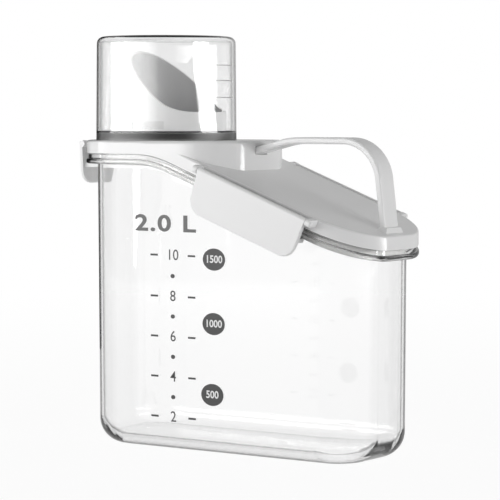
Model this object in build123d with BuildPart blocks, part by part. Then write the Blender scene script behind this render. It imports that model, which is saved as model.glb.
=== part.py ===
from build123d import *
import os
from math import atan2, cos, degrees, radians, sin, tan

# A dry-food keeper: clear tank with a sloping rim, white lid with a pouring spout, clear measuring cup
# turned over the spout, strap handle and three flap latches.
# Millimetres, +Z up, +X towards the handle end, origin at the middle of the tank's base.

# Tank
tank_length = 192.0
tank_width = 75.5
tank_corner = 27.0
tank_draft = 0.3  # degrees, each wall leans outwards
tank_wall = 2.0
tank_floor = 4.0
base_round = 15.0

# Rim: level at the high end, then falling straight towards the handle end
rim_height = 173.4
rim_slope = 20.6  # degrees
rim_level = 66.0  # from the lid's high end to the bend
rim_bend_radius = 75.0
flange_reach = 6.9
flange_depth = 5.6
flange_lip_depth = 2.4
flange_lip_set_back = 1.3
flange_round = 1.4

# Lid
lid_gap = 0.6  # slit left between the skirt and the flange
lid_set_back = 0.3
lid_height = 7.4
lid_wall = 2.2
lid_edge_round = 1.2
plug_depth = 8.0
plug_wall = 2.0
plug_lip = 1.5
plug_set_back = 2.6
plug_lip_set_back = 0.9

# Platform: the level pad under the cup, which narrows towards the handle
platform_step = 0.4
platform_reach = 27.1  # past the cup
platform_taper = 14.9
platform_sweep = 26.0
platform_end_width = 40.0
platform_corner = 14.0
platform_round = 2.2

# Gasket in the tank's mouth
gasket_depth = 4.0
gasket_set_back = 0.55

# Measuring cup
cup_end_gap = 0.9  # from the lid's high end
cup_radius = 42.1
cup_draft = 0.5  # degrees, the wall leans inwards
cup_height = 61.5
cup_wall = 2.0
cup_top_round = 4.0
cup_rim_wall = 3.0
cup_rim_height = 4.4
cup_lug_count = 2
cup_lug_angle = -69.0  # degrees from +X
cup_lug_sweep = 27.0  # degrees
cup_lug_height = 4.6
cup_lug_rise = 6.6
cup_lug_depth = 0.9

# Pouring spout
spout_bore = 27.3
spout_wall = 1.4
spout_low = 16.6  # height of the low lip above the platform
spout_slope = 41.0  # degrees
spout_sweep = 28.0
spout_sweep_end_share = 0.89  # of the bore radius, where the mouth turns level
spout_base_height = 5.2
spout_tail = 6.0
spout_snap = 0.5
spout_snap_height = 1.2
spout_edge_gap = 0.2  # between the tube and the seal's groove
cup_play = 0.5
seal_height = 3.2
seal_depth = 1.2
seal_play = 0.3

# Handle
handle_width = 15.0
handle_thickness = 3.8
handle_rise = 2.1  # top of the bar above the platform
handle_dip = 6.0  # of the strap's root below the bar
handle_root_width = 11.0
handle_root_run = 23.3  # from the platform to the level bar
handle_lean = 6.4
handle_foot_inset = 6.9  # from the lid's low end
handle_root_bend_share = 1.03  # of the bar's length
handle_bend_share = 0.412
handle_slot_gap = 0.6
handle_round = 1.2
handle_foot_flare = 1.6
handle_foot_height = 2.6
tang_width = 9.0
tang_thickness = 2.2
tang_reach = 2.5
tang_play = 0.15

# Flap latches
front_latch_bend_gap = 32.8  # from the rim's bend to the first ear
front_latch_overhang = 6.0  # of the last ear past the start of the lid's corner
end_latch_length = 29.0
latch_drop = 18.8  # below the skirt's lower edge
latch_thickness = 2.2
latch_corner = 9.0
latch_lean = 1.5
latch_round = 0.7
front_hinge_out = 5.4  # from the skirt to the hinge
end_hinge_out = 10.6
end_ear_spread = 6.0  # of each ear from the middle of the end latch
hinge_up = 5.1
hinge_barrel = 2.0
hinge_pin = 1.1
hinge_pin_play = 0.06
hinge_end_play = 0.4
ear_length = 3.0
ear_round = 2.2
hook_reach = 3.4
hook_height = 2.4
hook_play = 0.4
hook_inset = 3.0

# One overrun for all cuts
overrun = 5.0

# Sizes that follow from the ones above
draft = tan(radians(tank_draft))
slope = radians(rim_slope)
rim_length = tank_length + 2 * rim_height * draft
rim_width = tank_width + 2 * rim_height * draft
rim_corner = tank_corner + rim_height * draft
flange_length = rim_length + 2 * flange_reach
flange_width = rim_width + 2 * flange_reach
flange_corner = rim_corner + flange_reach
lid_length = flange_length - 2 * lid_set_back
lid_width = flange_width - 2 * lid_set_back
rim_bend_x = rim_level - lid_length / 2
deck = lid_gap + lid_height
platform_top = rim_height + deck + platform_step
cup_x = cup_end_gap + cup_radius - lid_length / 2
platform_end_x = cup_x + cup_radius + platform_reach
platform_taper_x = platform_end_x - platform_taper
spout_radius = spout_bore + spout_wall
cup_rim_inside = cup_radius - cup_rim_wall
spout_base_radius = cup_rim_inside - cup_play
seal_inside = spout_base_radius - seal_depth
spout_x = cup_x + seal_inside - spout_edge_gap - spout_radius
handle_end_x = platform_end_x - lid_wall - tang_reach
handle_bar_x = platform_end_x + handle_root_run
handle_foot_x = lid_length / 2 - handle_foot_inset
handle_corner_x = handle_foot_x - handle_lean
handle_root_bend = handle_root_bend_share * (handle_corner_x - handle_bar_x)
handle_bend = handle_bend_share * (handle_corner_x - handle_bar_x)
bar_z = platform_top + handle_rise - handle_thickness / 2
side_reach = flange_length
first_ear_x = rim_bend_x + front_latch_bend_gap
last_ear_x = lid_length / 2 - flange_corner + front_latch_overhang
front_latch_x = (first_ear_x + last_ear_x) / 2
front_ear_spread = ((last_ear_x - first_ear_x) / cos(slope) - ear_length) / 2
front_latch_length = 2 * front_ear_spread - ear_length - 2 * hinge_end_play


def report(piece):
    """One printed line for a finished piece."""
    print(piece.label, piece.is_valid, len(piece.solids()), round(piece.volume))


def rim_bend(lift):
    """X of the rim's bend, when the rim is lifted square to itself."""
    return rim_bend_x + lift * tan(slope / 2)


def rim_z(x, lift):
    """Height of the lifted rim on its falling stretch."""
    return rim_height + lift - (x - rim_bend(lift)) * tan(slope)


def rim_layer(low, high):
    """Front view of the layer between two lifts of the rim."""
    with BuildSketch(Plane.XZ) as layer:
        with BuildLine():
            edges = []
            for lift in (low, high):
                start = (-side_reach, rim_height + lift)
                bend = (rim_bend(lift), rim_height + lift)
                end = (side_reach, rim_z(side_reach, lift))
                edges.append(FilletPolyline(start, bend, end, radius=rim_bend_radius + lift))
            for place in (0, 1):
                Line(edges[0] @ place, edges[1] @ place)
        make_face()
    return layer.sketch


def plan(inset):
    """Plan of the tank's flange, drawn in by an inset."""
    with BuildSketch() as outline:
        RectangleRounded(flange_length - 2 * inset, flange_width - 2 * inset, flange_corner - inset)
    return outline.sketch


def rim_ring(outer, inner, low, high):
    """Ring between two insets of the flange, which follows the rim between two lifts."""
    with BuildPart() as ring:
        extrude(plan(outer), amount=platform_top)
        if inner is not None:
            extrude(plan(inner), amount=platform_top, mode=Mode.SUBTRACT)
        extrude(rim_layer(low, high), amount=flange_width, both=True, mode=Mode.INTERSECT)
    return ring


def platform_plan(inset):
    """Plan of the platform: the lid's own outline, narrowed towards the handle."""
    half = lid_width / 2
    end_half = platform_end_width / 2
    with BuildSketch() as outline:
        with BuildLine():
            Polyline(
                (-lid_length, -half),
                (platform_taper_x, -half),
                (platform_end_x, -end_half),
                (platform_end_x, end_half),
                (platform_taper_x, half),
                (-lid_length, half),
                close=True,
            )
        make_face()
        corners = outline.vertices().group_by(Axis.X)
        fillet(corners[-1], platform_corner)
        fillet(outline.vertices().sort_by_distance((platform_taper_x, -half))[0], platform_sweep)
        fillet(outline.vertices().sort_by_distance((platform_taper_x, half))[0], platform_sweep)
        add(plan(lid_set_back), mode=Mode.INTERSECT)
        if inset:
            offset(amount=-inset, mode=Mode.REPLACE)
    return outline.sketch


def strap_z(x):
    """Height of the strap's middle on its straight root."""
    return bar_z - handle_dip * (handle_bar_x - x) / (handle_bar_x - platform_end_x)


def deck_plane(x):
    """Plane on the sloping deck, with its own x axis down the slope."""
    place = (x, 0, rim_z(x, deck))
    return Plane(origin=place, x_dir=(cos(slope), 0, -sin(slope)), z_dir=(sin(slope), 0, cos(slope)))


# Where the latches sit on the skirt: x along the edge, y up, z outwards
front_site = Plane(
    origin=(front_latch_x, -lid_width / 2, rim_z(front_latch_x, lid_gap)),
    x_dir=(cos(slope), 0, -sin(slope)),
    z_dir=(0, -1, 0),
)
rear_site = Plane(
    origin=(front_latch_x, lid_width / 2, rim_z(front_latch_x, lid_gap)),
    x_dir=(-cos(slope), 0, sin(slope)),
    z_dir=(0, 1, 0),
)
end_site = Plane(origin=(-lid_length / 2, 0, rim_height + lid_gap), x_dir=(0, -1, 0), z_dir=(-1, 0, 0))


def across(site):
    """Section plane of a latch: x outwards, y up."""
    return Plane(origin=site.origin, x_dir=site.z_dir, z_dir=-site.x_dir)


def latch(site, length, hinge_out, ear_spread):
    """Flap with a hinge barrel, trunnions for two ears and a hook bar."""
    hook_top = -(lid_gap + flange_depth + hook_play)
    inner_face = hinge_out + hinge_barrel - latch_thickness
    with BuildPart() as flap:
        with BuildSketch(site.offset(inner_face)) as face:
            with BuildLine():
                Polyline(
                    (-length / 2, hinge_up),
                    (-length / 2 + latch_lean, -latch_drop),
                    (length / 2 - latch_lean, -latch_drop),
                    (length / 2, hinge_up),
                    close=True,
                )
            make_face()
            fillet(face.vertices().group_by(Axis.Y)[0], latch_corner)
        extrude(amount=latch_thickness)
        outer_face = flap.faces().sort_by(Axis(site.origin, site.z_dir))[-1]
        fillet(outer_face.edges().sort_by(Axis(site.origin, site.y_dir))[:-1], latch_round)
        with BuildSketch(across(site)):
            with Locations((hinge_out, hinge_up)):
                Circle(hinge_barrel)
        extrude(amount=length / 2, both=True)
        if ear_spread < length / 2:
            for side in (-1, 1):
                with BuildSketch(across(site).offset(side * ear_spread)):
                    with Locations((hinge_out, hinge_up)):
                        Circle(ear_round + hinge_end_play)
                extrude(amount=ear_length / 2 + hinge_end_play, both=True, mode=Mode.SUBTRACT)
        with BuildSketch(across(site)):
            with Locations((hinge_out, hinge_up)):
                Circle(hinge_pin)
        extrude(amount=ear_spread + ear_length / 2 + hinge_end_play, both=True)
        with BuildSketch(across(site)):
            with Locations((-hook_reach, hook_top)):
                Rectangle(inner_face + hook_reach, hook_height, align=(Align.MIN, Align.MAX))
        extrude(amount=length / 2 - hook_inset, both=True)
    return flap.part


def hinge_ears(site, hinge_out, ear_spread):
    """The two ears on the skirt that hold a flap's trunnions."""
    with BuildPart() as ears:
        for side in (-1, 1):
            with BuildSketch(across(site).offset(side * ear_spread)):
                with Locations((hinge_out, hinge_up)):
                    Circle(ear_round)
                with Locations((-lid_wall, hinge_up)):
                    Rectangle(hinge_out + lid_wall, 2 * hinge_barrel, align=(Align.MIN, Align.CENTER))
                with Locations((hinge_out, hinge_up)):
                    Circle(hinge_pin + hinge_pin_play, mode=Mode.SUBTRACT)
            extrude(amount=ear_length / 2, both=True)
    return ears.part


os.makedirs("parts", exist_ok=True)

# Tank: drafted shell with a rounded base, cut to the sloping rim, with a stepped flange
with BuildPart() as cavity:
    floor_growth = tank_floor * draft - tank_wall
    with BuildSketch(Plane.XY.offset(tank_floor)):
        RectangleRounded(
            tank_length + 2 * floor_growth, tank_width + 2 * floor_growth, tank_corner + floor_growth
        )
    extrude(amount=rim_height, taper=-tank_draft)
    fillet(cavity.faces().sort_by(Axis.Z)[0].edges(), base_round - tank_wall)

flange_lip = rim_ring(flange_lip_set_back, None, -flange_lip_depth - overrun / 2, 0)
with BuildPart() as flange_bead:
    add(rim_ring(0, None, -flange_depth, -flange_lip_depth).part)
    level_faces = flange_bead.faces().filter_by(lambda face: abs(face.normal_at().Z) > cos(2 * slope))
    fillet(level_faces.edges().filter_by(Axis.Y, reverse=True), flange_round)

with BuildPart() as tank:
    with BuildSketch():
        RectangleRounded(tank_length, tank_width, tank_corner)
    extrude(amount=rim_height, taper=-tank_draft)
    fillet(tank.faces().sort_by(Axis.Z)[0].edges(), base_round)
    extrude(rim_layer(0, rim_height), amount=flange_width, both=True, mode=Mode.SUBTRACT)
    add(flange_bead.part)
    add(flange_lip.part)
    add(cavity.part, mode=Mode.SUBTRACT)
tank.part.label = "tank"
export_step(tank.part, "parts/tank.step")
report(tank.part)

# Lid: skirt and sloping deck, level platform, hollow underside, plug ring and hinge ears
with BuildPart() as platform:
    extrude(platform_plan(0), amount=platform_top)
    fillet(platform.faces().sort_by(Axis.Z)[-1].edges(), platform_round)
    extrude(rim_layer(lid_gap, rim_height), amount=flange_width, both=True, mode=Mode.INTERSECT)

with BuildPart() as platform_hollow:
    extrude(platform_plan(lid_wall), amount=platform_top - lid_wall)
    extrude(rim_layer(lid_gap - overrun, rim_height), amount=flange_width, both=True, mode=Mode.INTERSECT)

skirt_hollow = rim_ring(lid_set_back + lid_wall, None, lid_gap - overrun, deck - lid_wall)
mouth_inset = flange_reach + tank_wall
plug_inset = mouth_inset + plug_set_back
plug_inside = plug_inset + plug_wall
foot_top = plug_lip - plug_depth
plug = rim_ring(plug_inset, plug_inside, -plug_depth, deck - lid_wall / 2)
plug_foot = rim_ring(mouth_inset + plug_lip_set_back, plug_inside, -plug_depth, foot_top)

with BuildPart() as lid:
    extrude(plan(lid_set_back), amount=platform_top)
    extrude(rim_layer(lid_gap, deck), amount=flange_width, both=True, mode=Mode.INTERSECT)
    upper_faces = lid.faces().filter_by(lambda face: face.normal_at().Z > cos(2 * slope))
    fillet(upper_faces.edges().filter_by(Axis.Y, reverse=True), lid_edge_round)
    add(platform.part)
    add(skirt_hollow.part, mode=Mode.SUBTRACT)
    add(platform_hollow.part, mode=Mode.SUBTRACT)
    add(plug.part)
    add(plug_foot.part)
    with Locations((spout_x, 0, platform_top)):
        Hole(spout_radius + tang_play, depth=lid_wall + overrun)
    with BuildSketch(deck_plane(handle_foot_x)):
        Rectangle(tang_thickness + 2 * tang_play, tang_width + 2 * tang_play)
    extrude(amount=lid_wall + overrun, both=True, mode=Mode.SUBTRACT)
    with BuildSketch(Plane.XZ):
        with BuildLine():
            Line(*((x, strap_z(x)) for x in (handle_end_x, platform_end_x + overrun)))
        trace(line_width=handle_thickness + 2 * handle_slot_gap)
    extrude(amount=handle_root_width / 2 + handle_slot_gap, both=True, mode=Mode.SUBTRACT)
    for site in (front_site, rear_site):
        add(hinge_ears(site, front_hinge_out, front_ear_spread))
    add(hinge_ears(end_site, end_hinge_out, end_ear_spread))
lid.part.label = "lid"
export_step(lid.part, "parts/lid.step")
report(lid.part)

# Gasket: ring round the plug, above its foot, inside the tank's mouth
lid_gasket = rim_ring(mouth_inset + gasket_set_back, plug_inset, foot_top, foot_top + gasket_depth)
lid_gasket.part.label = "lid_gasket"
export_step(lid_gasket.part, "parts/lid_gasket.step")
report(lid_gasket.part)

# Pouring spout: round base under the cup, tube with a scoop mouth that is high away from the handle
seal_z = platform_top + (spout_base_height - seal_height) / 2
mouth_turn = spout_sweep * tan(radians(spout_slope) / 2)
mouth_bend_x = spout_x + spout_sweep_end_share * spout_bore - mouth_turn
mouth_z = platform_top + spout_low
mouth_rise = (mouth_bend_x - cup_x + cup_radius) * tan(radians(spout_slope))
with BuildPart() as pour_spout:
    with BuildSketch(Plane.XY.offset(platform_top)):
        with Locations((cup_x, 0)):
            Circle(spout_base_radius)
    extrude(amount=spout_base_height)
    with BuildSketch(Plane.XY.offset(seal_z)):
        with Locations((cup_x, 0)):
            Circle(spout_base_radius)
            Circle(seal_inside, mode=Mode.SUBTRACT)
    extrude(amount=seal_height, mode=Mode.SUBTRACT)
    with BuildSketch(Plane.XY.offset(platform_top - spout_tail)):
        with Locations((spout_x, 0)):
            Circle(spout_radius)
    extrude(amount=spout_tail + cup_height)
    with BuildSketch(Plane.XY.offset(platform_top - lid_wall - tang_play)):
        with Locations((spout_x, 0)):
            Circle(spout_radius + spout_snap)
    extrude(amount=-spout_snap_height)
    with BuildSketch(Plane.XZ):
        with BuildLine():
            mouth = FilletPolyline(
                (cup_x - cup_radius, mouth_z + mouth_rise),
                (mouth_bend_x, mouth_z),
                (cup_x + cup_radius, mouth_z),
                radius=spout_sweep,
            )
            ceiling = platform_top + 2 * cup_height
            Polyline(mouth @ 1, (cup_x + cup_radius, ceiling), (cup_x - cup_radius, ceiling), mouth @ 0)
        make_face()
    extrude(amount=cup_radius, both=True, mode=Mode.SUBTRACT)
    with BuildSketch(Plane.XY.offset(platform_top - spout_tail)):
        with Locations((spout_x, 0)):
            Circle(spout_bore)
    extrude(amount=spout_tail + cup_height, mode=Mode.SUBTRACT)
pour_spout.part.label = "pour_spout"
export_step(pour_spout.part, "parts/pour_spout.step")
report(pour_spout.part)

# Seal: ring in the groove of the spout's base
with BuildPart() as cup_seal:
    with BuildSketch(Plane.XY.offset(seal_z)):
        with Locations((cup_x, 0)):
            Circle(cup_rim_inside - seal_play)
            Circle(seal_inside, mode=Mode.SUBTRACT)
    extrude(amount=seal_height)
cup_seal.part.label = "cup_seal"
export_step(cup_seal.part, "parts/cup_seal.step")
report(cup_seal.part)

# Measuring cup: turned wall and crown, thick rim, lugs inside
cup_axis = Axis((cup_x, 0, 0), (0, 0, 1))
cup_taper = tan(radians(cup_draft))


def cup_plane(angle):
    """Plane through the cup's axis, x outwards at an angle from +X, y up from the platform."""
    turn = radians(angle)
    return Plane(
        origin=(cup_x, 0, platform_top), x_dir=(cos(turn), sin(turn), 0), z_dir=(sin(turn), -cos(turn), 0)
    )


with BuildPart() as measuring_cup:
    with BuildSketch(cup_plane(0)) as section:
        top_radius = cup_radius - cup_height * cup_taper
        wall_foot = cup_radius - cup_wall - cup_rim_height * cup_taper
        with BuildLine():
            Polyline(
                (0, cup_height),
                (top_radius, cup_height),
                (cup_radius, 0),
                (cup_rim_inside, 0),
                (cup_rim_inside, cup_rim_height),
                (wall_foot, cup_rim_height + cup_rim_wall - cup_wall),
                (top_radius - cup_wall, cup_height - cup_wall),
                (0, cup_height - cup_wall),
                close=True,
            )
        make_face()
        fillet(section.vertices().sort_by_distance((top_radius, cup_height))[0], cup_top_round)
        inner_corner = (top_radius - cup_wall, cup_height - cup_wall)
        fillet(section.vertices().sort_by_distance(inner_corner)[0], cup_top_round - cup_wall)
    revolve(axis=cup_axis)
    lug_root = cup_radius - cup_wall / 2
    for lug in range(cup_lug_count):
        start = cup_lug_angle - cup_lug_sweep / 2 + lug * 360 / cup_lug_count
        with BuildSketch(cup_plane(start)):
            with Locations((lug_root, cup_lug_rise)):
                Rectangle(cup_wall / 2 + cup_lug_depth, cup_lug_height, align=(Align.MAX, Align.MIN))
        revolve(axis=cup_axis, revolution_arc=cup_lug_sweep)
measuring_cup.part.label = "measuring_cup"
export_step(measuring_cup.part, "parts/measuring_cup.step")
report(measuring_cup.part)

# Handle: strap bent in one plane, let into the platform's end wall, with a flared foot on the deck
with BuildPart() as handle:
    with BuildSketch(Plane.XZ):
        with BuildLine():
            FilletPolyline(
                (handle_end_x, strap_z(handle_end_x)),
                (handle_bar_x, bar_z),
                (handle_corner_x, bar_z),
                (handle_foot_x, rim_z(handle_foot_x, deck - lid_wall)),
                radius=[handle_root_bend, handle_bend],
            )
        trace(line_width=handle_thickness)
    extrude(amount=handle_width / 2, both=True)
    with BuildSketch() as strap_plan:
        with BuildLine():
            Polyline(
                (handle_end_x, -handle_root_width / 2),
                (handle_bar_x, -handle_width / 2),
                (lid_length, -handle_width / 2),
                (lid_length, handle_width / 2),
                (handle_bar_x, handle_width / 2),
                (handle_end_x, handle_root_width / 2),
                close=True,
            )
        make_face()
        fillet(strap_plan.vertices().group_by(Axis.X)[1], handle_root_bend)
    extrude(amount=platform_top + cup_height, mode=Mode.INTERSECT)
    long_edges = handle.edges().filter_by(Axis.Y, reverse=True).filter_by(
        lambda edge: edge.length > handle_thickness + handle_round
    )
    fillet(long_edges, handle_round)
    extrude(rim_layer(-rim_bend_radius / 2, deck), amount=handle_width, both=True, mode=Mode.SUBTRACT)
    with BuildSketch(deck_plane(handle_foot_x)):
        Rectangle(handle_thickness + 2 * handle_foot_flare, handle_width + 2 * handle_foot_flare)
    extrude(amount=handle_foot_height, taper=degrees(atan2(handle_foot_flare, handle_foot_height)))
    with BuildSketch(deck_plane(handle_foot_x)):
        Rectangle(tang_thickness, tang_width)
    extrude(amount=-(lid_wall + tang_reach))
handle.part.label = "handle"
export_step(handle.part, "parts/handle.step")
report(handle.part)

# Latches
for name, site, length, hinge_out, ear_spread in (
    ("front_latch", front_site, front_latch_length, front_hinge_out, front_ear_spread),
    ("rear_latch", rear_site, front_latch_length, front_hinge_out, front_ear_spread),
    ("end_latch", end_site, end_latch_length, end_hinge_out, end_ear_spread),
):
    flap = latch(site, length, hinge_out, ear_spread)
    flap.label = name
    export_step(flap, f"parts/{name}.step")
    report(flap)
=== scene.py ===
import math
import bmesh
import bpy
from mathutils import Matrix, Vector


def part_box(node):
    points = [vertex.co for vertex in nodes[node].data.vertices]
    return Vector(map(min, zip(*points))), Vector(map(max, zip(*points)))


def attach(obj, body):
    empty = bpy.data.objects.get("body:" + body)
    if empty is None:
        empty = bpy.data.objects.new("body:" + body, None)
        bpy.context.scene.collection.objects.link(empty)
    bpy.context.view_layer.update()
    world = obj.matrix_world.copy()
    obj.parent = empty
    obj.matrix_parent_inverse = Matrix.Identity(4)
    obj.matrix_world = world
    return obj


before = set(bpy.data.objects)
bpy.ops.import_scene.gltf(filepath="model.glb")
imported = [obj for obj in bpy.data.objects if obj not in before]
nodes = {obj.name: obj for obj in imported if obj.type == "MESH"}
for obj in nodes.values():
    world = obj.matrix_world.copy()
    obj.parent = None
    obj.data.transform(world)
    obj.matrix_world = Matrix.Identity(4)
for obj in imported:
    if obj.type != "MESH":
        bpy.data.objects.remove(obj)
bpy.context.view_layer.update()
mm = 0.001  # m
print("frame loaded:", len(nodes), "nodes")


# places that the frame gives, in mm
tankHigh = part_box("tank")[1] / mm
spoutLow, spoutHigh = (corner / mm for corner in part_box("pour_spout"))
cupLow, cupHigh = (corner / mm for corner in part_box("measuring_cup"))
cupAxis = (spoutLow.x + spoutHigh.x) / 2  # the cup goes over the spout's round base
cupRadius = cupHigh.x - cupAxis


# camera: a long lens, a little above the level of the tank's middle
cameraSet = {
    "eye": (776.7, -1118.9, 198.2),  # mm
    "aim": (0.58, 0.0, 117.4),
    "lens": 167.04,
    "sensor": 36.0,
    "far": 50.0,  # m
}


def makeCamera(look):
    data = bpy.data.cameras.new("camera")
    data.lens = look["lens"]
    data.sensor_width = look["sensor"]
    data.clip_end = look["far"]
    camera = bpy.data.objects.new("camera", data)
    eye = Vector(look["eye"]) * mm
    aim = Vector(look["aim"]) * mm
    camera.location = eye
    camera.rotation_euler = (aim - eye).to_track_quat("-Z", "Y").to_euler()
    bpy.context.collection.objects.link(camera)
    bpy.context.scene.camera = camera


makeCamera(cameraSet)
print("camera placed")


# node helpers
noiseSpan = (0.3, 0.7)  # most of a noise lies between these
bumpDepth = 0.0002  # m


def newMaterial(name):
    material = bpy.data.materials.new(name)
    material.use_nodes = True
    tree = material.node_tree
    tree.nodes.clear()
    return material, tree, tree.nodes.new("ShaderNodeOutputMaterial")


def addNode(tree, kind, **values):
    node = tree.nodes.new(kind)
    for key, value in values.items():
        setattr(node, key, value)
    return node


def objectNoise(tree, scale, detail=2.0):
    place = addNode(tree, "ShaderNodeTexCoord")
    noise = addNode(tree, "ShaderNodeTexNoise")
    noise.inputs["Scale"].default_value = scale
    noise.inputs["Detail"].default_value = detail
    tree.links.new(place.outputs["Object"], noise.inputs["Vector"])
    return noise.outputs["Fac"]


def rangeOf(tree, value, span, low, high):
    spread = addNode(tree, "ShaderNodeMapRange")
    spread.inputs["From Min"].default_value = span[0]
    spread.inputs["From Max"].default_value = span[1]
    spread.inputs["To Min"].default_value = low
    spread.inputs["To Max"].default_value = high
    tree.links.new(value, spread.inputs["Value"])
    return spread.outputs["Result"]


def greyRamp(tree, value, stops):
    ramp = addNode(tree, "ShaderNodeValToRGB")
    marks = ramp.color_ramp.elements
    for at, level in stops:
        mark = marks[0] if at == 0 else marks[-1] if at == 1 else marks.new(at)
        mark.color = (level, level, level, 1)
    tree.links.new(value, ramp.inputs["Fac"])
    return ramp.outputs["Color"]


def addBump(tree, skin, height, strength):
    bump = addNode(tree, "ShaderNodeBump")
    bump.inputs["Strength"].default_value = strength
    bump.inputs["Distance"].default_value = bumpDepth
    tree.links.new(height, bump.inputs["Height"])
    tree.links.new(bump.outputs["Normal"], skin.inputs["Normal"])


# white mouldings: satin, with slow flow marks and a faint unevenness
whiteSet = {
    "ior": 1.49,
    "tone": 0.012,  # the flow marks are lighter and darker by this
    "flow": 26.0,  # noise scale
    "flowDetail": 3.0,
    "grain": 260.0,  # noise scale
    "bump": 0.03,
    "kinds": {
        "whiteLid": {"color": (0.88, 0.88, 0.88), "rough": (0.13, 0.19)},
        "whiteLatch": {"color": (0.89, 0.89, 0.89), "rough": (0.32, 0.42)},
        "whiteHandle": {"color": (0.88, 0.88, 0.88), "rough": (0.17, 0.25)},
        # painted shade: the spout's white is set darker than the lid's, so its whole outside reads as in
        # shade
        "whiteSpout": {"color": (0.66, 0.66, 0.66), "rough": (0.28, 0.38)},
        # painted shade: the bore's faces are set dark grey
        "spoutBore": {"color": (0.34, 0.34, 0.34), "rough": (0.34, 0.46)},
    },
}


def whitePlastic(name, look):
    material, tree, output = newMaterial(name)
    skin = addNode(tree, "ShaderNodeBsdfPrincipled")
    skin.inputs["IOR"].default_value = whiteSet["ior"]
    flow = objectNoise(tree, whiteSet["flow"], whiteSet["flowDetail"])
    tone = addNode(tree, "ShaderNodeMix", data_type="RGBA")
    pale = [c + whiteSet["tone"] for c in look["color"]]
    deep = [c - whiteSet["tone"] for c in look["color"]]
    tone.inputs["A"].default_value = (*deep, 1)
    tone.inputs["B"].default_value = (*pale, 1)
    tree.links.new(flow, tone.inputs["Factor"])
    tree.links.new(tone.outputs["Result"], skin.inputs["Base Color"])
    tree.links.new(rangeOf(tree, flow, noiseSpan, *look["rough"]), skin.inputs["Roughness"])
    addBump(tree, skin, objectNoise(tree, whiteSet["grain"]), whiteSet["bump"])
    tree.links.new(skin.outputs["BSDF"], output.inputs["Surface"])
    return material


# clear mouldings: polished, with painted shade that greys the wall where it is seen edge on, and lamps
# shine through them
clearSet = {
    "ior": 1.5,
    "flowDetail": 3.0,
    "kinds": {  # painted edge shade: tones run from face on, 0, to edge on, 1
        "clearTank": {
            "edgeShadeTones": ((0.0, 0.997), (0.22, 0.994), (0.34, 0.86), (0.7, 0.80), (1.0, 0.45)),
            "rough": (0.012, 0.03),
            "flow": 9.0,  # noise scale
            "shade": 0.88,  # how much of a lamp's light a wall lets through
        },
        # painted dark outlines on the tank's round corner walls
        "clearCorner": {
            "edgeShadeTones": ((0.0, 0.985), (0.22, 0.98), (0.34, 0.86), (0.66, 0.82), (0.74, 0.05), (1.0, 0.01)),
            "rough": (0.012, 0.03),
            "flow": 9.0,
            "shade": 0.88,
        },
        # painted shade: the flange is grey even face on
        "clearRim": {
            "edgeShadeTones": ((0.0, 0.74), (0.45, 0.66), (0.62, 0.32), (0.8, 0.06), (1.0, 0.02)),
            "rough": (0.012, 0.03),
            "flow": 9.0,
            "shade": 0.88,
        },
        # painted shade: the lug is greyer than the rest of the cup
        "clearLug": {
            "edgeShadeTones": ((0.0, 0.72), (0.5, 0.6), (1.0, 0.2)),
            "rough": (0.03, 0.06),
            "flow": 14.0,
            "shade": 0.84,
        },
        "clearCup": {
            "edgeShadeTones": ((0.0, 0.91), (0.5, 0.88), (0.68, 0.78), (0.78, 0.15), (1.0, 0.03)),
            "rough": (0.012, 0.03),
            "flow": 14.0,
            "shade": 0.84,
            "foot": {"tall": 4.4, "soft": 0.3, "deep": 0.32, "rough": 0.34},  # painted dark reflection in the thick rim at the foot, and rougher there, sizes in mm
        },
        "clearCrown": {
            "edgeShadeTones": ((0.0, 0.92), (0.6, 0.90), (0.9, 0.80), (1.0, 0.5)),
            "rough": (0.012, 0.03),
            "flow": 14.0,
            "shade": 0.84,
        },
    },
}


# painted shade: the cup's foot is darkened, and made rougher, below a height
def footShadeBand(tree, foot, color, rough):
    place = addNode(tree, "ShaderNodeTexCoord")
    parts = addNode(tree, "ShaderNodeSeparateXYZ")
    tree.links.new(place.outputs["Object"], parts.inputs["Vector"])
    top = cupLow.z + foot["tall"]
    span = (top - foot["soft"]) * mm, (top + foot["soft"]) * mm
    deeper = addNode(tree, "ShaderNodeMix", data_type="RGBA", blend_type="MULTIPLY")
    deeper.inputs["B"].default_value = (foot["deep"],) * 3 + (1,)
    tree.links.new(rangeOf(tree, parts.outputs["Z"], span, 1, 0), deeper.inputs["Factor"])
    tree.links.new(color, deeper.inputs["A"])
    rougher = addNode(tree, "ShaderNodeMath", operation="ADD")
    tree.links.new(rough, rougher.inputs[0])
    tree.links.new(rangeOf(tree, parts.outputs["Z"], span, foot["rough"], 0), rougher.inputs[1])
    return deeper.outputs["Result"], rougher.outputs[0]


def clearPlastic(name, look):
    material, tree, output = newMaterial(name)
    skin = addNode(tree, "ShaderNodeBsdfPrincipled")
    skin.inputs["IOR"].default_value = clearSet["ior"]
    skin.inputs["Transmission Weight"].default_value = 1.0
    turn = addNode(tree, "ShaderNodeLayerWeight")
    # painted shade: the colour greys as the wall turns edge on
    color = greyRamp(tree, turn.outputs["Facing"], look["edgeShadeTones"])
    flow = objectNoise(tree, look["flow"], clearSet["flowDetail"])
    rough = rangeOf(tree, flow, noiseSpan, *look["rough"])
    if "foot" in look:
        color, rough = footShadeBand(tree, look["foot"], color, rough)
    tree.links.new(color, skin.inputs["Base Color"])
    tree.links.new(rough, skin.inputs["Roughness"])
    through = addNode(tree, "ShaderNodeBsdfTransparent")
    through.inputs["Color"].default_value = (look["shade"],) * 3 + (1,)
    rays = addNode(tree, "ShaderNodeLightPath")
    mix = addNode(tree, "ShaderNodeMixShader")
    tree.links.new(rays.outputs["Is Shadow Ray"], mix.inputs["Fac"])
    tree.links.new(skin.outputs["BSDF"], mix.inputs[1])
    tree.links.new(through.outputs["BSDF"], mix.inputs[2])
    tree.links.new(mix.outputs["Shader"], output.inputs["Surface"])
    return material


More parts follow.
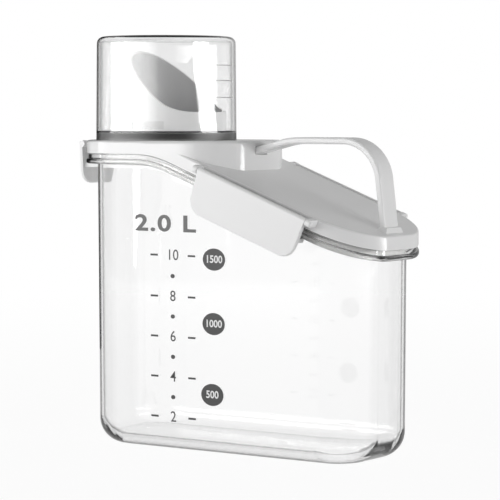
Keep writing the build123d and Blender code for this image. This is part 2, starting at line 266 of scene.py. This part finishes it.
# silicone rings: pale in the tank's mouth, dark under the cup
siliconeSet = {
    "ior": 1.41,
    "soft": 0.15,  # share of light that goes under the surface
    "depth": 0.002,  # m
    "rough": (0.5, 0.62),
    "grain": 900.0,  # noise scale
    "bump": 0.05,
    "kinds": {
        "paleSilicone": {"color": (0.78, 0.78, 0.77)},
        "darkSilicone": {"color": (0.045, 0.045, 0.045)},
    },
}


def siliconeRubber(name, look):
    material, tree, output = newMaterial(name)
    skin = addNode(tree, "ShaderNodeBsdfPrincipled")
    skin.inputs["Base Color"].default_value = (*look["color"], 1)
    skin.inputs["IOR"].default_value = siliconeSet["ior"]
    skin.inputs["Subsurface Weight"].default_value = siliconeSet["soft"]
    skin.inputs["Subsurface Scale"].default_value = siliconeSet["depth"]
    skin.inputs["Subsurface Radius"].default_value = (1.0, 1.0, 1.0)  # no colour cast
    grain = objectNoise(tree, siliconeSet["grain"])
    tree.links.new(rangeOf(tree, grain, noiseSpan, *siliconeSet["rough"]), skin.inputs["Roughness"])
    addBump(tree, skin, grain, siliconeSet["bump"])
    tree.links.new(skin.outputs["BSDF"], output.inputs["Surface"])
    return material


finishes = {}
for makeFinish, kinds in (
    (whitePlastic, whiteSet["kinds"]),
    (clearPlastic, clearSet["kinds"]),
    (siliconeRubber, siliconeSet["kinds"]),
):
    for name, look in kinds.items():
        finishes[name] = makeFinish(name, look)
print("finishes made:", len(finishes))


# the finish of each node
finishOf = {
    "tank": "clearTank",
    "measuring_cup": "clearCup",
    "lid": "whiteLid",
    "handle": "whiteHandle",
    "pour_spout": "whiteSpout",
    "front_latch": "whiteLatch",
    "rear_latch": "whiteLatch",
    "end_latch": "whiteLatch",
    "cup_seal": "darkSilicone",
    "lid_gasket": "paleSilicone",
}


def dress(node, material):
    mesh = nodes[node].data
    mesh.materials.clear()
    mesh.materials.append(material)


for node, name in finishOf.items():
    dress(node, finishes[name])
print("finishes on", len(finishOf), "nodes")


# faces that look different from the rest of their node, sizes in mm
boreSet = {"aside": 8.5, "radius": 27.3, "slack": 0.25}  # the bore stands aside of the cup's axis
cornerSet = {"square": 0.985}  # a normal this near to an axis is a flat wall's
rimSet = {"reach": 6.9, "corner": 27.91, "slack": 0.4}  # the flange's reach past the wall
lugSet = {"radius": 39.7, "from": 6.4, "to": 11.4}  # above the cup's foot
crownSet = {"deep": 2.5, "level": 0.99}  # level faces just under the cup's top


def inBore(corners, normal):
    axis = cupAxis + boreSet["aside"]
    reach = boreSet["radius"] + boreSet["slack"]
    return all(math.hypot(c.x - axis, c.y) < reach for c in corners)


def roundWall(corners, normal):
    return max(abs(n) for n in normal) < cornerSet["square"]


def pastWall(corners, normal):
    corner = rimSet["corner"]
    core = [tankHigh[i] - rimSet["reach"] - corner for i in (0, 1)]  # where the corner's round begins
    reach = [math.hypot(*(max(abs(c[i]) - core[i], 0) for i in (0, 1))) for c in corners]
    return max(reach) > corner + rimSet["slack"]


def onLug(corners, normal):
    lowest, highest = cupLow.z + lugSet["from"], cupLow.z + lugSet["to"]
    level = all(lowest < c.z < highest for c in corners)
    return level and min(math.hypot(c.x - cupAxis, c.y) for c in corners) < lugSet["radius"]


def onCrown(corners, normal):
    lowest = cupHigh.z - crownSet["deep"]
    return abs(normal.z) > crownSet["level"] and all(c.z > lowest for c in corners)


def dressFaces(node, material, chosen):
    mesh = nodes[node].data
    place = len(mesh.materials)
    mesh.materials.append(material)
    count = 0
    for face in mesh.polygons:
        if chosen([mesh.vertices[i].co / mm for i in face.vertices], face.normal):
            face.material_index = place
            count += 1
    print(material.name, "on", count, "faces of", node)


dressFaces("pour_spout", finishes["spoutBore"], inBore)  # painted shade: a deeper grey inside the bore
dressFaces("tank", finishes["clearCorner"], roundWall)  # painted shade: darker outlines where the wall rounds
dressFaces("tank", finishes["clearRim"], pastWall)  # painted shade: the flange greyer
# painted shade on the cup's lug
dressFaces("measuring_cup", finishes["clearLug"], onLug)
# the cup's flat top faces get a lighter painted edge shade
dressFaces("measuring_cup", finishes["clearCrown"], onCrown)


# mesh helpers
mergeGap = 1e-6  # m


def meshObject(bm, name, material):
    mesh = bpy.data.meshes.new(name)
    bm.to_mesh(mesh)
    bm.free()
    mesh.materials.append(material)
    made = bpy.data.objects.new(name, mesh)
    bpy.context.collection.objects.link(made)
    return made


def finishPiece(bm, name, material, body):
    bmesh.ops.remove_doubles(bm, verts=bm.verts, dist=mergeGap)
    bmesh.ops.recalc_face_normals(bm, faces=bm.faces)
    piece = meshObject(bm, name, material)
    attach(piece, body)
    return piece


# printed scale on the tank's front wall: sizes in mm, places are X and Z
printSet = {
    "wall": 37.75,  # from the middle to the wall's face, at the base
    "lean": 0.3,  # degrees
    "thick": 0.03,
    "rough": (0.38, 0.5),
    "grain": 1800.0,  # noise scale
    "curve": 4,  # points along each curve of a letter
    "sides": 48,  # of discs and dots
    "flat": 0.81,  # height over width of discs and dots
    "title": {
        "words": "2.0 L",
        "at": (-33.0, 133.2),
        "size": 13.2,
        "spread": 1.12,  # space between letters
        "weight": 0.36,  # how much the strokes are thickened
        "wide": 1.5,  # the letters are stretched sideways by this
        "ink": (0.135, 0.135, 0.135),
    },
    "scale": {
        "steps": {"10": 115.2, "8": 91.2, "6": 67.7, "4": 44.1, "2": 20.5},
        "at": -27.5,
        "size": 8.8,
        "spread": 1.0,
        "weight": 0.04,
        "ink": (0.055, 0.055, 0.055),
    },
    "dash": {"at": (-41.0, -14.0), "size": (5.4, 1.15)},
    "dot": {"at": -27.6, "heights": (103.1, 79.5, 55.9, 32.3), "radius": 1.55},
    "disc": {
        "places": {"1500": (2.0, 113.8), "1000": (1.6, 76.6), "500": (0.5, 35.5)},
        "radius": 7.9,
        "size": 6.0,
        "spread": 1.0,
        "weight": 0.14,
        "ink": (0.86, 0.86, 0.86),
    },
}


def inkPaint(name, color):
    material, tree, output = newMaterial(name)
    skin = addNode(tree, "ShaderNodeBsdfPrincipled")
    skin.inputs["Base Color"].default_value = (*color, 1)
    grain = objectNoise(tree, printSet["grain"])
    tree.links.new(rangeOf(tree, grain, noiseSpan, *printSet["rough"]), skin.inputs["Roughness"])
    tree.links.new(skin.outputs["BSDF"], output.inputs["Surface"])
    return material


def wallPlace(x, z, layer=0):
    lean = math.radians(printSet["lean"])
    y = -printSet["wall"] - z * math.tan(lean)
    lift = (layer + 1) * 2 * printSet["thick"] * mm
    turn = Matrix.Rotation(math.pi / 2 + lean, 4, "X")
    return Matrix.Translation(Vector((x, y, z)) * mm) @ turn @ Matrix.Translation((0, 0, lift))


def addWords(bm, words, style, place):
    curve = bpy.data.curves.new("words", "FONT")
    curve.body = words
    curve.size = style["size"] * mm
    curve.space_character = style["spread"]
    curve.offset = style["weight"] * mm
    curve.align_x = "CENTER"
    curve.align_y = "CENTER"
    curve.extrude = printSet["thick"] * mm / 2
    curve.resolution_u = printSet["curve"]
    holder = bpy.data.objects.new("words", curve)
    bpy.context.collection.objects.link(holder)
    graph = bpy.context.evaluated_depsgraph_get()
    mesh = bpy.data.meshes.new_from_object(holder.evaluated_get(graph))
    mesh.transform(place)
    bm.from_mesh(mesh)
    bpy.data.objects.remove(holder)
    bpy.data.curves.remove(curve)
    bpy.data.meshes.remove(mesh)


def addDisc(bm, radius, place):
    bmesh.ops.create_cone(
        bm,
        cap_ends=True,
        segments=printSet["sides"],
        radius1=radius * mm,
        radius2=radius * mm,
        depth=printSet["thick"] * mm,
        matrix=place @ Matrix.Diagonal((1, printSet["flat"], 1, 1)),
    )


def addDash(bm, size, place):
    box = Matrix.Diagonal((size[0] * mm, size[1] * mm, printSet["thick"] * mm, 1))
    bmesh.ops.create_cube(bm, size=1.0, matrix=place @ box)


def printTitle(title):
    bm = bmesh.new()
    place = wallPlace(*title["at"]) @ Matrix.Diagonal((title["wide"], 1, 1, 1))
    addWords(bm, title["words"], title, place)
    finishPiece(bm, "printedTitle", inkPaint("titleInk", title["ink"]), "container")


def printScale(scale, dash, dot, disc):
    bm = bmesh.new()
    for words, height in scale["steps"].items():
        addWords(bm, words, scale, wallPlace(scale["at"], height))
        for x in dash["at"]:
            addDash(bm, dash["size"], wallPlace(x, height))
    for height in dot["heights"]:
        addDisc(bm, dot["radius"], wallPlace(dot["at"], height))
    for at in disc["places"].values():
        addDisc(bm, disc["radius"], wallPlace(*at))
    finishPiece(bm, "printedScale", inkPaint("scaleInk", scale["ink"]), "container")


def printNumbers(disc):
    bm = bmesh.new()
    for words, at in disc["places"].items():
        addWords(bm, words, disc, wallPlace(*at, layer=1))
    finishPiece(bm, "discNumbers", inkPaint("numberInk", disc["ink"]), "container")


printTitle(printSet["title"])
printScale(printSet["scale"], printSet["dash"], printSet["dot"], printSet["disc"])
printNumbers(printSet["disc"])
print("scale printed")


# moulded lines on the cup's wall
cupLineSet = {
    "heights": (44.2, 35.2, 25.2),  # mm above the cup's foot
    "draft": 0.5,  # degrees
    "from": -9.0,  # degrees from +X
    "to": 14.0,
    "tall": 0.7,  # mm
    "off": 0.03,
    "proud": 0.3,
    "steps": 18,
    "color": (0.72, 0.72, 0.72),
    "rough": (0.3, 0.4),
    "grain": 900.0,  # noise scale
}


def linePlastic(name, look):
    material, tree, output = newMaterial(name)
    skin = addNode(tree, "ShaderNodeBsdfPrincipled")
    skin.inputs["Base Color"].default_value = (*look["color"], 1)
    skin.inputs["Transmission Weight"].default_value = 1.0
    grain = objectNoise(tree, look["grain"])
    tree.links.new(rangeOf(tree, grain, noiseSpan, *look["rough"]), skin.inputs["Roughness"])
    tree.links.new(skin.outputs["BSDF"], output.inputs["Surface"])
    return material


def cupLines(look):
    bm = bmesh.new()
    start = math.radians(look["from"])
    for height in look["heights"]:
        inside = cupRadius - height * math.tan(math.radians(look["draft"])) + look["off"]
        outside = inside + look["proud"]
        ring = []
        for radius, side in ((inside, -1), (outside, -1), (outside, 1), (inside, 1)):
            x, y = cupAxis + radius * math.cos(start), radius * math.sin(start)
            z = cupLow.z + height + side * look["tall"] / 2
            ring.append(bm.verts.new(Vector((x, y, z)) * mm))
        loop = [bm.edges.new((ring[i], ring[i - 1])) for i in range(len(ring))]
        bmesh.ops.spin(
            bm,
            geom=ring + loop,
            cent=(cupAxis * mm, 0, 0),
            axis=(0, 0, 1),
            angle=math.radians(look["to"] - look["from"]),
            steps=look["steps"],
        )
    bmesh.ops.holes_fill(bm, edges=bm.edges, sides=4)
    piece = finishPiece(bm, "cupLines", linePlastic("cupLine", look), "cup")


cupLines(cupLineSet)
print("cup lines on")


# 1 where the camera looks, straight or through clear plastic, and less in a reflection
def seenRays(tree, sheen):
    rays = addNode(tree, "ShaderNodeLightPath")
    straight = addNode(tree, "ShaderNodeMath", operation="MAXIMUM")
    mirrored = addNode(tree, "ShaderNodeMath", operation="MULTIPLY")
    mirrored.inputs[1].default_value = sheen
    seen = addNode(tree, "ShaderNodeMath", operation="MAXIMUM")
    tree.links.new(rays.outputs["Is Camera Ray"], straight.inputs[0])
    tree.links.new(rays.outputs["Is Transmission Ray"], straight.inputs[1])
    tree.links.new(rays.outputs["Is Glossy Ray"], mirrored.inputs[0])
    tree.links.new(straight.outputs[0], seen.inputs[0])
    tree.links.new(mirrored.outputs[0], seen.inputs[1])
    return seen.outputs[0]


# pale floor that shows white and keeps the shadow
floorSet = {
    "half": 6.0,  # m
    "color": (0.86, 0.86, 0.86),
    "near": 0.94,  # how white it shows beside the object
    "far": 1.0,
    "fade": (0.2, 1.2),  # m from the middle
    "sheen": 0.4,
}


def makeFloor(look):
    material, tree, output = newMaterial("floorPaint")
    paint = addNode(tree, "ShaderNodeBsdfDiffuse")
    paint.inputs["Color"].default_value = (*look["color"], 1)
    glow = addNode(tree, "ShaderNodeEmission")
    place = addNode(tree, "ShaderNodeTexCoord")
    reach = addNode(tree, "ShaderNodeVectorMath", operation="LENGTH")
    tree.links.new(place.outputs["Object"], reach.inputs[0])
    level = rangeOf(tree, reach.outputs["Value"], look["fade"], look["near"], look["far"])
    share = addNode(tree, "ShaderNodeMath", operation="MULTIPLY")
    tree.links.new(seenRays(tree, look["sheen"]), share.inputs[0])
    tree.links.new(level, share.inputs[1])
    mix = addNode(tree, "ShaderNodeMixShader")
    tree.links.new(share.outputs[0], mix.inputs["Fac"])
    tree.links.new(paint.outputs["BSDF"], mix.inputs[1])
    tree.links.new(glow.outputs["Emission"], mix.inputs[2])
    tree.links.new(mix.outputs["Shader"], output.inputs["Surface"])
    bm = bmesh.new()
    bmesh.ops.create_grid(bm, x_segments=2, y_segments=2, size=look["half"])
    floor = meshObject(bm, "floor", material)


# dark card at the far left, which only reflections show
cardSet = {
    "way": 152.0,  # degrees from +X
    "away": 0.6,  # m
    "size": (0.46, 0.5),
    "color": (0.02, 0.02, 0.02),
}


def makeCard(look):
    material, tree, output = newMaterial("cardPaint")
    paint = addNode(tree, "ShaderNodeBsdfDiffuse")
    paint.inputs["Color"].default_value = (*look["color"], 1)
    tree.links.new(paint.outputs["BSDF"], output.inputs["Surface"])
    way = math.radians(look["way"])
    wide, tall = look["size"]
    at = Matrix.Translation((look["away"] * math.cos(way), look["away"] * math.sin(way), tall / 2))
    turn = Matrix.Rotation(way + math.pi / 2, 4, "Z") @ Matrix.Rotation(math.pi / 2, 4, "X")
    place = at @ turn @ Matrix.Diagonal((wide, tall, 1, 1))
    bm = bmesh.new()
    bmesh.ops.create_grid(bm, x_segments=1, y_segments=1, size=0.5, matrix=place)  # unit square
    card = meshObject(bm, "card", material)
    card.visible_camera = False
    card.visible_diffuse = False
    card.visible_transmission = False
    card.visible_shadow = False


# soft light from all round, white where it is seen
worldSet = {
    "low": 0.27,  # strength at the horizon
    "high": 0.25,  # strength overhead
    "rise": (0.0, 0.9),  # how far up one turns to the other
    "sheen": 0.4,
}


def makeWorld(look):
    world = bpy.data.worlds.new("studio")
    bpy.context.scene.world = world
    world.use_nodes = True
    tree = world.node_tree
    tree.nodes.clear()
    output = tree.nodes.new("ShaderNodeOutputWorld")
    way = addNode(tree, "ShaderNodeTexCoord")
    parts = addNode(tree, "ShaderNodeSeparateXYZ")
    tree.links.new(way.outputs["Generated"], parts.inputs["Vector"])
    level = rangeOf(tree, parts.outputs["Z"], look["rise"], look["low"], look["high"])
    pick = addNode(tree, "ShaderNodeMix", data_type="FLOAT")
    tree.links.new(seenRays(tree, look["sheen"]), pick.inputs["Factor"])
    tree.links.new(level, pick.inputs["A"])
    pick.inputs["B"].default_value = 1.0
    sky = addNode(tree, "ShaderNodeBackground")
    sky.inputs["Color"].default_value = (1, 1, 1, 1)
    tree.links.new(pick.outputs["Result"], sky.inputs["Strength"])
    tree.links.new(sky.outputs["Background"], output.inputs["Surface"])


# lamps: places and sizes in m, turns in degrees, power in watts
lampSet = {
    "key": {
        "at": (-0.484, -1.145, 0.30),
        "size": (2.48, 0.34),
        "turn": 0.0,
        "power": 12.3,
        "fade": ((0.0, 1.3), (0.57, 1.2), (0.71, 0.7), (0.84, 0.35), (1.0, 0.0)),  # from the far end
        "mirrored": True,
    },
    "side": {
        "at": (1.474, 0.479, 0.225),
        "size": (1.5, 0.19),
        "turn": -12.0,
        "power": 10.0,
        "mirrored": True,
    },
    "back": {
        "at": (-0.9, 1.3, 0.6),
        "size": (1.2, 0.6),
        "turn": 0.0,
        "power": 6.0,
        "mirrored": False,
    },
}
lampAim = Vector((0.0, 0.0, 0.16))


def fadeLamp(data, stops):
    data.use_nodes = True
    tree = data.node_tree
    face = addNode(tree, "ShaderNodeNewGeometry")
    across = addNode(tree, "ShaderNodeSeparateXYZ")
    tree.links.new(face.outputs["Parametric"], across.inputs["Vector"])
    fade = greyRamp(tree, across.outputs["X"], stops)
    tree.links.new(fade, tree.nodes["Emission"].inputs["Strength"])


def makeLamp(name, look):
    data = bpy.data.lights.new(name, "AREA")
    data.shape = "RECTANGLE"
    data.size, data.size_y = look["size"]
    data.energy = look["power"]
    if "fade" in look:
        fadeLamp(data, look["fade"])
    lamp = bpy.data.objects.new(name, data)
    lamp.location = look["at"]
    lamp.visible_glossy = look["mirrored"]
    lamp.visible_transmission = look["mirrored"]
    face = (lampAim - Vector(look["at"])).to_track_quat("-Z", "Y").to_matrix().to_4x4()
    lamp.rotation_euler = (face @ Matrix.Rotation(math.radians(look["turn"]), 4, "Z")).to_euler()
    bpy.context.collection.objects.link(lamp)


makeFloor(floorSet)
makeCard(cardSet)
makeWorld(worldSet)
for name, look in lampSet.items():
    makeLamp(name, look)
bpy.context.scene.view_settings.view_transform = "Standard"
print("studio lit")
